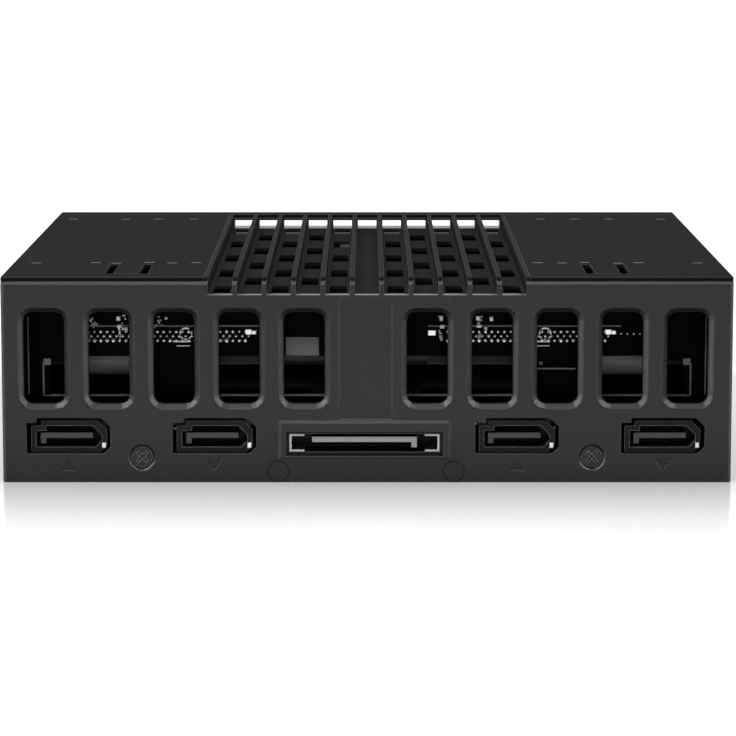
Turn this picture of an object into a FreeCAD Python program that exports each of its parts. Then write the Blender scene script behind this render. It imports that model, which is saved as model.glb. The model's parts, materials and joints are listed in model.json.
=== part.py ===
"""Hot swap drive cage for one half-height 5.25-inch bay: four 2.5-inch drives on sliding trays.

Frame: +Z up, +Y towards the tray fronts, -Y towards the connector side.
The origin is at the centre of the footprint, on the underside. Millimetres.
"""
import FreeCAD, Part
import functools
import math
import os
import re
import Sketcher

V = FreeCAD.Vector
doc = FreeCAD.newDocument("drive_cage")

# ---------------------------------------------------------------- driving sizes
SIZES = [
    # outer form and common walls
    ("width", 146.0), ("height", 41.3), ("sheet", 0.8), ("bend_radius", 1.0),
    ("play", 0.3), ("slip", 0.1), ("overrun", 1.0),
    # the chain of depths, from the connector side to the tray fronts
    ("socket_frame_rise", 0.6), ("cover_face", 2.0), ("board_gap", 7.0), ("board_thickness", 1.6),
    ("connector_depth", 5.1), ("drive_length", 100.0), ("drive_gap", 0.8), ("bezel_depth", 15.2),
    # moulded rear cover
    ("skirt_wall", 1.2), ("cover_edge", 0.6),
    ("vent_first", 12.3), ("vent_side", 8.7), ("vents", 5), ("vent_width", 8.1),
    ("vent_low", 15.9), ("vent_drop", 3.55), ("vent_corner", 1.7), ("vent_bevel", 1.1),
    ("cover_middle", -0.25), ("strip_middle", -0.3), ("strip_width", 10.6), ("strip_low", 12.8),
    ("strip_drop", 0.85),
    ("engraving", 0.4), ("arrow_low", 2.4), ("arrow_width", 3.3), ("arrow_height", 2.5),
    ("cover_post_half", 2.0), ("cover_post_low", 14.0),
    # SATA data sockets and power socket
    ("data_side", 13.5), ("data_inner_share", 0.50924), ("data_height", 9.15),
    ("data_width", 15.15), ("data_tall", 6.3), ("data_beside", 0.8), ("data_above", 0.45),
    ("data_lift", 0.3), ("data_recess", 1.2), ("data_wall", 1.0), ("data_step_wide", 2.0),
    ("data_step_tall", 1.0), ("data_corner_low", 1.3), ("data_corner_high", 1.8),
    ("socket_floor", 1.2), ("tongue_thickness", 1.1), ("tongue_drop", 1.1),
    ("data_tongue", 10.5), ("data_tongue_rise", 0.65), ("data_tongue_shift", -0.5),
    ("data_tongue_back", 0.6),
    ("power_middle", -0.5), ("power_height", 7.9), ("power_width", 31.2), ("power_tall", 4.7),
    ("power_clearance", 0.1), ("power_wall", 0.5), ("power_recess", 0.8),
    ("power_tongue", 21.0), ("power_tongue_rise", 1.3), ("clip_length", 3.0), ("clip_sheet", 0.45),
    ("power_frame_wide", 34.4), ("power_frame_low", 4.7), ("power_frame_high", 12.55),
    # fasteners
    ("screw_shift", 0.2), ("screw_height", 5.05), ("screw_shank", 1.25), ("screw_head", 2.1),
    ("screw_head_tall", 1.4), ("screw_sink", 0.8), ("screw_rim", 0.2), ("screw_flare", 0.5),
    ("boss_wall", 2.3), ("boss_length", 3.0), ("recess_long", 1.4), ("recess_wide", 0.28),
    ("recess_deep", 0.8),
    # circuit board and drive connectors
    ("window_low", 16.1), ("window_cover", 1.5), ("window_side", 8.6), ("window_bar", 9.8),
    ("board_post", 4.0),
    ("connector_shift", -3.0), ("connector_wide", 42.0), ("connector_tall", 6.8),
    ("connector_mouth", 33.6), ("connector_mouth_tall", 2.6), ("connector_mouth_deep", 3.6),
    ("connector_key", 1.5), ("connector_key_place", -4.4), ("connector_rise", 3.5),
    # top vent channel
    ("channel_depth", 3.45), ("groove_pitch", 5.85), ("groove_width", 4.9), ("groove_count", 11),
    ("slot_width", 3.6), ("slot_length", 13.0), ("slot_pitch", 27.8), ("slot_first", 8.9),
    ("channel_lip", 3.0),
    # top cover and chassis
    ("lid_set_back", 1.1), ("lid_flange", 6.0), ("lid_flange_rear", 12.3), ("lid_flange_front", 18.3),
    ("lid_bridge", 4.4), ("tab_middle", 48.45), ("tab_half", 2.55), ("tab_slot", 1.8),
    ("tab_rear", 7.0), ("tab_length", 16.0), ("tab_gap", 0.6), ("board_tab_half", 4.5),
    ("board_tab_over", 4.0),
    ("mount_low", 9.9), ("mount_high", 21.8), ("mount_spacing", 79.25), ("mount_from_front", 34.3),
    ("mount_hole", 1.5), ("base_mount_inset", 3.15),
    ("base_slot_wide", 4.0), ("base_slot_long", 24.0), ("base_slot_pitch", 18.0),
    ("base_slot_rows", 40.0), ("base_slots", 6),
    # centre divider and side rails
    ("ledge", 1.2), ("ledge_tall", 0.8), ("divider_window_long", 14.0), ("divider_window_tall", 7.0),
    ("divider_window_pitch", 22.0), ("divider_windows", 4),
    # front frame
    ("frame_flange", 2.0), ("frame_rim", 0.9), ("mullion_half", 0.5), ("mullion_depth", 4.3),
    ("top_bar", 1.4), ("front_vent_low", 0.15), ("front_vent_wide", 4.4),
    # trays
    ("tray_wall", 0.6), ("tray_floor", 0.8), ("tray_floor_height", 2.4), ("tray_wall_tall", 7.0),
    ("tray_tab", 6.0), ("drive_hole", 1.6), ("drive_hole_first", 14.0), ("drive_hole_spacing", 76.6),
    ("drive_base_wide", 61.72), ("tray_window_half", 24.0),
    ("tray_window_long", 30.0), ("tray_bridge", 6.0), ("tray_window_corner", 3.0),
    # bezels, levers and buttons
    ("bezel_recess", 0.3), ("bezel_rim", 1.2), ("bezel_skin", 1.5), ("bezel_edge", 0.6),
    ("hinge_inset", 6.8), ("barrel_radius", 2.6), ("hinge_pin", 0.75), ("pin_play", 0.05),
    ("lever_recess", 0.2), ("lever_thickness", 3.2), ("lever_edge", 0.5), ("air_gap", 1.5),
    ("toe_reach", 6.4), ("toe_back", 2.1), ("toe_front", 0.5), ("toe_half_tall", 2.6),
    ("air_slot_wide", 2.6), ("air_slots", 7), ("air_slot_start", 6.5), ("air_slot_end", 6.6),
    ("air_slot_margin", 3.4), ("grip_wide", 3.2), ("grip_deep", 1.4),
    ("button_inset", 4.5), ("button_wide", 4.2), ("button_tall", 8.3), ("button_length", 5.1),
    ("button_room", 2.6), ("well_wall", 1.0),
    ("light_wide", 2.2), ("light_tall", 1.4), ("light_margin", 2.3), ("light_proud", 0.1),
]

# ---------------------------------------------------------------- sizes that follow from them
RULES = {
    "half": "width / 2",
    "depth": "socket_frame_rise + cover_face + board_gap + board_thickness + connector_depth"
             " + drive_length + drive_gap + bezel_depth + bezel_recess",
    "rear_face": "socket_frame_rise - depth / 2",
    "cover_back": "rear_face + cover_face",
    "vent_pitch": "(half - vent_side - vent_first) / (vents - 1)",
    "vent_high": "channel_top - vent_drop",
    "strip_high": "channel_top - strip_drop",
    "data_outer": "half - data_side",
    "data_inner": "data_outer * data_inner_share",
    "screw_place": "(data_outer + data_inner) / 2 + screw_shift",
    "board_rear": "cover_back + board_gap",
    "board_front": "board_rear + board_thickness",
    "drive_rear": "board_front + connector_depth",
    "bezel_back": "drive_rear + drive_length + drive_gap",
    "bezel_front": "bezel_back + bezel_depth",
    "front_face": "depth / 2",
    "sheet_front": "front_face - frame_flange",
    "inside": "half - sheet",
    "lid_under": "height - sheet",
    "channel_top": "height - channel_depth",
    "channel_under": "channel_top - sheet",
    "channel_half": "(groove_count - 1) / 2 * groove_pitch + groove_width / 2",
    "channel_outside": "channel_half + sheet",
    "bridge_rear": "sheet_front - lid_bridge",
    "rib_width": "groove_pitch - groove_width",
    # bays: x is measured from a bay's own middle, z from its own lower edge
    "divider_half": "sheet / 2",
    "bay_middle": "(inside + divider_half) / 2",
    "tray_half": "(inside - divider_half) / 2 - play",
    "bezel_half": "tray_half - slip",
    "bay_low": "frame_rim + play",
    "bezel_tall": "(channel_under - frame_rim - 3 * play) / 2",
    "tier": "bezel_tall + play",
    "ledge_top": "bay_low + tray_floor_height - slip",
    "tray_top": "tray_floor_height + tray_floor",
    "connector_middle": "bay_low + tray_top + connector_rise",
    "window_high": "connector_middle + tier - window_cover",
    "window_end": "half - window_side",
    "window_mid": "(board_post + window_end) / 2",
    "tray_rear": "drive_rear + play",
    "first_hole": "drive_rear + drive_hole_first",
    # hinge, lever and button, in a bay's own x and z
    "hinge_x": "hinge_inset - bezel_half",
    "lever_front": "bezel_front - lever_recess",
    "lever_back": "lever_front - lever_thickness",
    "hinge_y": "lever_front - barrel_radius",
    "recess_floor": "lever_back - air_gap",
    "button_place": "bezel_half - button_inset",
    "well_left": "button_place - button_wide / 2 - play",
    "recess_right": "well_left - well_wall",
    "lever_right": "recess_right - play",
    "lever_low": "bezel_rim + play",
    "lever_high": "bezel_tall - bezel_rim - play",
    "bezel_mid": "bezel_tall / 2",
    "button_rear": "bezel_front - play - button_length",
    "toe_swing": "toe_reach + play + play",
    "air_slot_first": "hinge_x + air_slot_start",
    "air_slot_pitch": "(recess_right - air_slot_end - air_slot_first) / (air_slots - 1)",
    "cavity_left": "air_slot_first - air_slot_wide",
    "air_low": "bezel_rim + air_slot_margin - play",
    "air_high": "bezel_tall - bezel_rim - air_slot_margin + play",
    # rear screws and mounting holes
    "tab_back": "cover_back + boss_length",
    "tab_front": "tab_back + sheet",
    "boss_half": "screw_shank + boss_wall",
    "counterbore": "screw_head + screw_rim",
    "head_seat": "rear_face + screw_sink + screw_head_tall",
    "mount_front": "front_face - mount_from_front",
    "mount_rear": "mount_front - mount_spacing",
    "base_mount_place": "half - base_mount_inset",
}

sheet_of_sizes = doc.addObject("Spreadsheet::Sheet", "Sizes")
for row, (name, value) in enumerate(SIZES, start=1):
    sheet_of_sizes.set(f"A{row}", name)
    sheet_of_sizes.set(f"B{row}", str(value))
    sheet_of_sizes.setAlias(f"B{row}", name)
doc.recompute()
CELLS = {name: float(sheet_of_sizes.get(name)) for name, _ in SIZES}
WORD = re.compile(r"[a-z_]+")


def fill(text, rule, cell):
    """Put something in the place of every name: rule() for a derived size, cell() for a driving one."""
    def swap(match):
        word = match.group(0)
        return "(" + (rule(RULES[word]) if word in RULES else cell(CELLS[word], word)) + ")"
    return WORD.sub(swap, str(text))


@functools.cache
def rule_text(text):
    """A rule spelled out in cells of the sheet."""
    return fill(text, rule_text, lambda value, word: f"Sizes.{word}")


@functools.cache
def number(text):
    """The present value of a rule."""
    figures = fill(text, lambda rule: f"{number(rule):.9f}", lambda value, word: f"{value:.9f}")
    return FreeCAD.Units.Quantity(figures).Value


def bind(thing, prop, text):
    """Tie one property to the sheet."""
    thing.setExpression(prop, rule_text(text))


# ---------------------------------------------------------------- outlines
def outline(*points):
    return (draw_outline, points)


def rect(left, low, right, high):
    return outline((left, low), (right, low), (right, high), (left, high))


def clipped(left, low, right, high, corner):
    """A rectangle with its four corners cut off."""
    return outline(
        (f"{left} + {corner}", low), (f"{right} - ({corner})", low), (right, f"{low} + {corner}"),
        (right, f"{high} - ({corner})"), (f"{right} - ({corner})", high), (f"{left} + {corner}", high),
        (left, f"{high} - ({corner})"), (left, f"{low} + {corner}"))


def eased(left, low, right, high, radius):
    """A rectangle with rounded corners, each turned in three equal chords to keep the mesh light."""
    near, far = f"{left} + {radius}", f"{right} - ({radius})"
    bottom, top = f"{low} + {radius}", f"{high} - ({radius})"
    points = []
    for quarter, (across, up) in enumerate(((far, bottom), (far, top), (near, top), (near, bottom))):
        for chord in range(4):
            turn = math.radians(90 * quarter + 30 * chord - 90)
            points.append((f"{across} + ({math.cos(turn):.6f}) * ({radius})",
                           f"{up} + ({math.sin(turn):.6f}) * ({radius})"))
    return outline(*points)


def disc(across, up, radius):
    return (draw_disc, across, up, radius)


def draw_outline(sketch, points):
    """Draw lines from point to point; gives back the dimensions that place them."""
    first = sketch.GeometryCount
    corners = [V(number(across), number(up), 0) for across, up in points]
    count = len(corners)
    sketch.addGeometry([Part.LineSegment(corners[k], corners[(k + 1) % count]) for k in range(count)], False)
    sketch.addConstraint([Sketcher.Constraint("Coincident", first + k, 2, first + (k + 1) % count, 1)
                          for k in range(count)])
    ties = []
    for k, (across, up) in enumerate(points):
        ties += [("DistanceX", (-1, 1, first + k, 1), across), ("DistanceY", (-1, 1, first + k, 1), up)]
    return ties


def draw_disc(sketch, across, up, radius):
    """Draw a circle; gives back its dimensions."""
    circle = sketch.GeometryCount
    sketch.addGeometry(Part.Circle(V(number(across), number(up), 0), V(0, 0, 1), number(radius)), False)
    return [("Radius", (circle,), radius), ("DistanceX", (-1, 1, circle, 3), across),
            ("DistanceY", (-1, 1, circle, 3), up)]


# ---------------------------------------------------------------- features
def new_body(label, across="0", along="0", up="0"):
    body = doc.addObject("PartDesign::Body", label)
    body.Label = label
    for axis, text in zip("xyz", (across, along, up)):
        bind(body, f"Placement.Base.{axis}", text)
    return body


def origin_item(body, role):
    return next(item for item in body.Origin.OriginFeatures if item.Role == role)


def new_sketch(body, plane, level, shapes):
    """A sketch on XY, XZ or YZ of its own body, at a level along the third axis."""
    sketch = body.newObject("Sketcher::SketchObject", f"{body.Name}_sketch")
    sketch.AttachmentSupport = [(origin_item(body, f"{plane}_Plane"), "")]
    sketch.MapMode = "FlatFace"
    sign = "-" if plane == "XZ" else ""
    bind(sketch, "AttachmentOffset.Base.z", f"{sign}({level})")
    ties = []
    for draw, *values in shapes:
        ties += draw(sketch, *values)
    first = sketch.ConstraintCount
    sketch.addConstraint([Sketcher.Constraint(kind, *refs, number(text)) for kind, refs, text in ties])
    for index, (_, _, text) in enumerate(ties, start=first):
        bind(sketch, f"Constraints[{index}]", text)
    return sketch


def slab(body, plane, start, end, *shapes):
    """Solid between two levels along the axis that the plane faces."""
    level = end if plane == "XZ" else start
    pad = body.newObject("PartDesign::Pad", f"{body.Name}_pad")
    pad.Profile = new_sketch(body, plane, level, shapes)
    bind(pad, "Length", f"({end}) - ({start})")
    doc.recompute()
    return pad


def cut(body, plane, start, end, *shapes):
    """Hole or recess between two levels; it has to take something away."""
    before = body.Shape.Volume
    level = start if plane == "XZ" else end
    pocket = body.newObject("PartDesign::Pocket", f"{body.Name}_cut")
    pocket.Profile = new_sketch(body, plane, level, shapes)
    bind(pocket, "Length", f"({end}) - ({start})")
    doc.recompute()
    if not body.Shape.Volume < before:
        raise ValueError(f"{body.Label}: a cut from {start} to {end} removes nothing")
    return pocket


def flare(body, level, depth, *shapes):
    """A cut back from a level towards -Y that widens at 45 degrees."""
    before = body.Shape.Volume
    pocket = body.newObject("PartDesign::Pocket", f"{body.Name}_flare")
    pocket.Profile = new_sketch(body, "XZ", level, shapes)
    pocket.Reversed = True
    pocket.TaperAngle = 45
    bind(pocket, "Length", depth)
    doc.recompute()
    if not body.Shape.Volume < before:
        raise ValueError(f"{body.Label}: a flare from {level} removes nothing")
    return pocket


def repeat(body, feature, axis, pitch, count, second_axis=None, second_pitch=None, second_count=None):
    """Copies of a feature in a row, or in a grid when a second axis is given."""
    pattern = body.newObject("PartDesign::LinearPattern", f"{body.Name}_pattern")
    pattern.Originals = [feature]
    pattern.Direction = (origin_item(body, f"{axis}_Axis"), [""])
    bind(pattern, "Occurrences", count)
    bind(pattern, "Length", f"({pitch}) * (({count}) - 1)")
    if second_axis:
        pattern.Direction2 = (origin_item(body, f"{second_axis}_Axis"), [""])
        bind(pattern, "Occurrences2", second_count)
        bind(pattern, "Length2", f"({second_pitch}) * (({second_count}) - 1)")
    body.Tip = pattern
    doc.recompute()
    return pattern


def edges_inside(shape, across=None, along=None, up=None, run=None):
    """Names of the edges inside the given limits; run keeps those along one axis."""
    near = 0.01
    names = []
    for index, edge in enumerate(shape.Edges, start=1):
        box = edge.BoundBox
        spans = [(box.XMin, box.XMax), (box.YMin, box.YMax), (box.ZMin, box.ZMax)]
        inside = all(limits is None
                     or (number(limits[0]) - near <= low and high <= number(limits[1]) + near)
                     for limits, (low, high) in zip((across, along, up), spans))
        lengths = [high - low for low, high in spans]
        straight = run is None or all(length < near or axis == run
                                      for axis, length in zip("XYZ", lengths))
        if inside and straight:
            names.append(f"Edge{index}")
    return names


def round_edges(body, radius, **limits):
    return dress(body, "PartDesign::Fillet", "Radius", radius, limits)


def bevel_edges(body, size, **limits):
    return dress(body, "PartDesign::Chamfer", "Size", size, limits)


def dress(body, kind, prop, size, limits):
    base = body.Tip
    names = edges_inside(base.Shape, **limits)
    if not names:
        raise ValueError(f"{body.Label}: no edges inside {limits}")
    feature = body.newObject(kind, f"{body.Name}_edge")
    feature.Base = (base, names)
    bind(feature, prop, size)
    doc.recompute()
    return feature


PIECES = []


def piece(label, across="0", along="0", up="0"):
    """A sub-part: one body, written to its own file."""
    body = new_body(label, across, along, up)
    PIECES.append(body)
    return body


def both_sides(make, *arguments):
    """The same outline on the left and the right."""
    return [make(side, *arguments) for side in (-1, 1)]


def side_rect(side, near, low, far, high):
    """A rectangle between two distances from the middle, on one side."""
    left, right = (f"-({far})", f"-({near})") if side < 0 else (near, far)
    return rect(left, low, right, high)


# ---------------------------------------------------------------- sheet metal
def lower_chassis():
    """Folded steel: the floor and both side walls."""
    body = piece("lower_chassis")
    slab(body, "XZ", "cover_back", "sheet_front", outline(
        ("-half", "0"), ("half", "0"), ("half", "lid_under"), ("inside", "lid_under"),
        ("inside", "sheet"), ("-inside", "sheet"), ("-inside", "lid_under"), ("-half", "lid_under")))
    for side in (-1, 1):
        edge = f"{side} * half"
        round_edges(body, "bend_radius", across=(edge, edge), up=("0", "0"), run="Y")
    slab(body, "XZ", "tab_back", "tab_front", *both_sides(
        side_rect, "screw_place - board_tab_half", "sheet / 2",
        "screw_place + board_tab_half", "screw_height + board_tab_over"))
    cut(body, "XZ", "tab_back - overrun", "tab_front + overrun",
        *[disc(f"{side} * screw_place", "screw_height", "screw_shank + pin_play") for side in (-1, 1)])
    cut(body, "YZ", "-half - overrun", "half + overrun",
        *[disc(along, up, "mount_hole") for along in ("mount_rear", "mount_front")
          for up in ("mount_low", "mount_high")])
    cut(body, "XY", "-overrun", "sheet + overrun",
        *[disc(f"{side} * base_mount_place", along, "mount_hole")
          for side in (-1, 1) for along in ("mount_rear", "mount_front")])
    slot_left = "-(base_slots - 1) / 2 * base_slot_pitch"
    slot = cut(body, "XY", "-overrun", "sheet + overrun", rect(
        f"{slot_left} - base_slot_wide / 2", "-(base_slot_rows + base_slot_long) / 2",
        f"{slot_left} + base_slot_wide / 2", "(base_slot_long - base_slot_rows) / 2"))
    repeat(body, slot, "X", "base_slot_pitch", "base_slots", "Y", "base_slot_rows", "2")


def top_cover():
    """Flat steel lid with a window for the vent channel and a snap tab on each side."""
    body = piece("top_cover")
    slab(body, "XY", "lid_under", "height", outline(
        ("-half", "rear_face + lid_set_back"), ("-channel_outside", "rear_face + lid_set_back"),
        ("-channel_outside", "bridge_rear"), ("channel_outside", "bridge_rear"),
        ("channel_outside", "rear_face + lid_set_back"), ("half", "rear_face + lid_set_back"),
        ("half", "sheet_front"), ("-half", "sheet_front")))
    slab(body, "XY", "lid_under - lid_flange", "lid_under", *both_sides(
        side_rect, "inside - sheet", "rear_face + lid_flange_rear",
        "inside", "front_face - lid_flange_front"))
    tab_start = "rear_face + tab_rear"
    tab_end = "rear_face + tab_rear + tab_length"
    slots = []
    for side in (-1, 1):
        middle = f"{side} * tab_middle"
        slots.append(outline(
            (f"{middle} - tab_half - tab_slot", tab_end), (f"{middle} - tab_half - tab_slot", tab_start),
            (f"{middle} + tab_half + tab_slot", tab_start), (f"{middle} + tab_half + tab_slot", tab_end),
            (f"{middle} + tab_half", tab_end), (f"{middle} + tab_half", f"{tab_start} + tab_gap"),
            (f"{middle} - tab_half", f"{tab_start} + tab_gap"), (f"{middle} - tab_half", tab_end)))
    cut(body, "XY", "lid_under - overrun", "height + overrun", *slots)


def vent_channel():
    """Ribbed plastic grille let into the lid, with slots in its floor."""
    body = piece("vent_channel")
    slab(body, "XZ", "cover_back", "bridge_rear", outline(
        ("-channel_outside", "channel_under"), ("channel_outside", "channel_under"),
        ("channel_outside", "lid_under - sheet"), ("channel_outside + channel_lip", "lid_under - sheet"),
        ("channel_outside + channel_lip", "lid_under"), ("channel_outside", "lid_under"),
        ("channel_outside", "height"), ("channel_half", "height"),
        ("channel_half", "channel_top"), ("-channel_half", "channel_top"),
        ("-channel_half", "height"), ("-channel_outside", "height"),
        ("-channel_outside", "lid_under"), ("-channel_outside - channel_lip", "lid_under"),
        ("-channel_outside - channel_lip", "lid_under - sheet"), ("-channel_outside", "lid_under - sheet")))
    first_rib = "groove_width - channel_half"
    rib = slab(body, "XZ", "cover_back", "bridge_rear", rect(
        first_rib, "channel_top - slip", f"{first_rib} + rib_width", "height"))
    repeat(body, rib, "X", "groove_pitch", "groove_count - 1")
    half_way = "slot_pitch / 2"
    grids = [("-(groove_count - 1) / 2", "0", "(groove_count + 1) / 2", "5"),
             ("-(groove_count - 3) / 2", half_way, "2", "4"),
             ("(groove_count - 3) / 2 - 2", half_way, "2", "4")]
    for column, shift, across, along in grids:
        middle = f"({column}) * groove_pitch"
        start = f"rear_face + slot_first + {shift}"
        slot = cut(body, "XY", "channel_under - overrun", "channel_top + overrun", rect(
            f"{middle} - slot_width / 2", f"{start} - slot_length / 2",
            f"{middle} + slot_width / 2", f"{start} + slot_length / 2"))
        repeat(body, slot, "X", "2 * groove_pitch", across, "Y", "slot_pitch", along)


# ---------------------------------------------------------------- rear cover
def keyed(middle, up, wide, tall):
    """Outline of a data socket: one stepped corner and two cut ones."""
    left, right = f"{middle} - ({wide}) / 2", f"{middle} + ({wide}) / 2"
    low, high = f"{up} - ({tall}) / 2", f"{up} + ({tall}) / 2"
    return outline(
        (left, low), (f"{right} - data_corner_low", low), (right, f"{low} + data_corner_low"),
        (right, f"{high} - data_corner_high"), (f"{right} - data_corner_high", high),
        (f"{left} + data_step_wide", high), (f"{left} + data_step_wide", f"{high} - data_step_tall"),
        (left, f"{high} - data_step_tall"))


DATA_SOCKETS = ["cover_middle - data_outer", "cover_middle - data_inner",
                "cover_middle + data_inner", "cover_middle + data_outer"]


def arrow(middle, upward):
    """A small triangle under a socket: it tells which row of drives the socket serves."""
    base, tip = ("arrow_low", "arrow_low + arrow_height")
    if not upward:
        base, tip = tip, base
    return outline((f"{middle} - arrow_width / 2", base), (f"{middle} + arrow_width / 2", base),
                   (middle, tip))


def rear_cover():
    """Moulded cover with ten air vents, the comb over the channel and the socket openings."""
    body = piece("rear_cover")
    slab(body, "XZ", "rear_face", "cover_back", rect("-half", "0", "half", "lid_under"))
    for side in (-1, 1):
        edge = f"{side} * half"
        bevel_edges(body, "cover_edge", across=(edge, edge), along=("rear_face", "rear_face"), run="Z")
    bevel_edges(body, "cover_edge", along=("rear_face", "rear_face + cover_edge"),
                up=("lid_under", "lid_under"))
    # skirt inside the chassis, and the posts behind the screws and the board
    slab(body, "XZ", "cover_back", "board_rear - slip", *both_sides(
        side_rect, "inside - slip - skirt_wall", "sheet + slip", "inside - slip", "lid_under - slip"))
    slab(body, "XZ", "cover_back", "board_rear - slip", *both_sides(
        side_rect, "channel_outside + channel_lip + slip", "lid_under - slip - skirt_wall",
        "inside - slip - skirt_wall", "lid_under - slip"))
    slab(body, "XZ", "cover_back", "tab_back", *both_sides(
        side_rect, "screw_place - boss_half", "sheet + slip",
        "screw_place + boss_half", "screw_height + boss_half"))
    slab(body, "XZ", "cover_back", "board_rear", rect(
        "-cover_post_half", "cover_post_low", "cover_post_half", "vent_high"))
    # raised frame round the power socket
    slab(body, "XZ", "-depth / 2", "rear_face", rect(
        "power_middle - power_frame_wide / 2", "power_frame_low",
        "power_middle + power_frame_wide / 2", "power_frame_high"))
    bevel_edges(body, "socket_frame_rise - slip", along=("-depth / 2", "-depth / 2"))
    # sockets
    cut(body, "XZ", "rear_face - overrun", "cover_back + overrun", *[
        keyed(middle, "data_height + data_lift", "data_width + 2 * data_beside", "data_tall + 2 * data_above")
        for middle in DATA_SOCKETS])
    half_wide = "(power_width / 2 + power_clearance)"
    half_tall = "(power_tall / 2 + power_clearance)"
    cut(body, "XZ", "-depth / 2 - overrun", "cover_back + overrun", rect(
        f"power_middle - {half_wide}", f"power_height - {half_tall}",
        f"power_middle + {half_wide}", f"power_height + {half_tall}"))
    # screw holes
    cut(body, "XZ", "rear_face - overrun", "head_seat",
        *[disc(f"{side} * screw_place", "screw_height", "counterbore") for side in (-1, 1)])
    cut(body, "XZ", "rear_face", "tab_back + overrun",
        *[disc(f"{side} * screw_place", "screw_height", "screw_shank + pin_play") for side in (-1, 1)])
    flare(body, "rear_face + screw_flare", "screw_flare",
          *[disc(f"{side} * screw_place", "screw_height", "counterbore") for side in (-1, 1)])
    # shallow marks
    cut(body, "XZ", "rear_face - overrun", "rear_face + engraving", rect(
        "strip_middle - strip_width / 2", "strip_low", "strip_middle + strip_width / 2", "strip_high"))
    cut(body, "XZ", "rear_face - overrun", "rear_face + engraving",
        *[arrow(middle, index % 2 == 0) for index, middle in enumerate(DATA_SOCKETS)])
    # comb
    notch = cut(body, "XZ", "rear_face - overrun", "cover_back + overrun", rect(
        "-channel_half", "channel_top", "groove_width - channel_half", "height"))
    repeat(body, notch, "X", "groove_pitch", "groove_count")
    # vents: straight through, then flared out to the face
    for start in ("cover_middle - vent_first - (vents - 1) * vent_pitch", "cover_middle + vent_first"):
        vent = eased(f"{start} - vent_width / 2", "vent_low",
                     f"{start} + vent_width / 2", "vent_high", "vent_corner")
        for hole in (cut(body, "XZ", "rear_face - overrun", "cover_back + overrun", vent),
                     flare(body, "rear_face + vent_bevel", "vent_bevel", vent)):
            repeat(body, hole, "X", "vent_pitch", "vents")


def data_socket(index, middle):
    """Seven-way data socket: a keyed shell with an L-shaped tongue."""
    body = piece(f"data_socket_{index}")
    mouth = "rear_face + data_recess"
    floor = "board_rear - socket_floor"
    slab(body, "XZ", mouth, "board_rear", keyed(middle, "data_height", "data_width", "data_tall"))
    cut(body, "XZ", f"{mouth} - overrun", floor, keyed(
        middle, "data_height", "data_width - 2 * data_wall", "data_tall - 2 * data_wall"))
    tongue(body, f"{middle} + data_tongue_shift", -1, "data_tongue", "data_height + data_tongue_rise",
           f"{mouth} + data_tongue_back", floor)


def tongue(body, middle, leg_side, length, top, start, end):
    """L-shaped contact tongue; the leg hangs from its left (-1) or right (1) end."""
    tip = f"{middle} + {leg_side} * ({length}) / 2"
    inner = f"{tip} - {leg_side} * tongue_thickness"
    other = f"{middle} - {leg_side} * ({length}) / 2"
    low = f"{top} - tongue_thickness"
    slab(body, "XZ", start, f"{end} + slip", outline(
        (other, top), (tip, top), (tip, f"{low} - tongue_drop"), (inner, f"{low} - tongue_drop"),
        (inner, low), (other, low)))


def power_socket():
    """Fifteen-way power socket behind the raised frame."""
    body = piece("power_socket")
    mouth = "rear_face + power_recess"
    floor = "board_rear - socket_floor"
    slab(body, "XZ", mouth, "board_rear", rect(
        "power_middle - power_width / 2", "power_height - power_tall / 2",
        "power_middle + power_width / 2", "power_height + power_tall / 2"))
    cut(body, "XZ", f"{mouth} - overrun", floor, rect(
        "power_middle - power_width / 2 + power_wall", "power_height - power_tall / 2 + power_wall",
        "power_middle + power_width / 2 - power_wall", "power_height + power_tall / 2 - power_wall"))
    tongue(body, "power_middle", 1, "power_tongue", "power_height + power_tongue_rise",
           f"{mouth} - power_wall / 2", floor)


def power_clips():
    """Two bent metal clips that line the ends of the power socket."""
    body = piece("power_clips")
    low = "power_height - power_tall / 2 + power_wall"
    high = "power_height + power_tall / 2 - power_wall"
    clips = []
    for side in (-1, 1):
        end = f"power_middle + {side} * (power_width / 2 - power_wall)"
        inner = f"{end} - {side} * clip_sheet"
        tip = f"{end} - {side} * clip_length"
        clips.append(outline(
            (end, low), (tip, low), (tip, f"{low} + clip_sheet"), (inner, f"{low} + clip_sheet"),
            (inner, f"{high} - clip_sheet"), (tip, f"{high} - clip_sheet"), (tip, high), (end, high)))
    slab(body, "XZ", "rear_face + power_recess - slip", "board_rear - socket_floor", *clips)


def backplane_board():
    """Circuit board between the sockets and the drives, cut open for the air."""
    body = piece("backplane_board")
    edge = "inside - 2 * play"
    windows = [("board_post", "window_mid"), ("window_mid + window_bar", "window_end")]
    slab(body, "XZ", "board_rear", "board_front",
         rect(f"-({edge})", "sheet + slip", edge, "channel_under - slip"),
         *[side_rect(side, near, "window_low", far, "window_high")
           for side in (-1, 1) for near, far in windows])


def drive_connector(index, across, up):
    """Board connector that a drive plugs onto."""
    body = piece(f"drive_connector_{index}", across=f"{across} + connector_shift", up=up)
    slab(body, "XZ", "board_front", "drive_rear", rect(
        "-connector_wide / 2", "-connector_tall / 2", "connector_wide / 2", "connector_tall / 2"))
    split = "connector_key_place"
    cut(body, "XZ", "drive_rear - connector_mouth_deep", "drive_rear + overrun",
        rect("-connector_mouth / 2", "-connector_mouth_tall / 2",
             f"{split} - connector_key / 2", "connector_mouth_tall / 2"),
        rect(f"{split} + connector_key / 2", "-connector_mouth_tall / 2",
             "connector_mouth / 2", "connector_mouth_tall / 2"))


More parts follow.
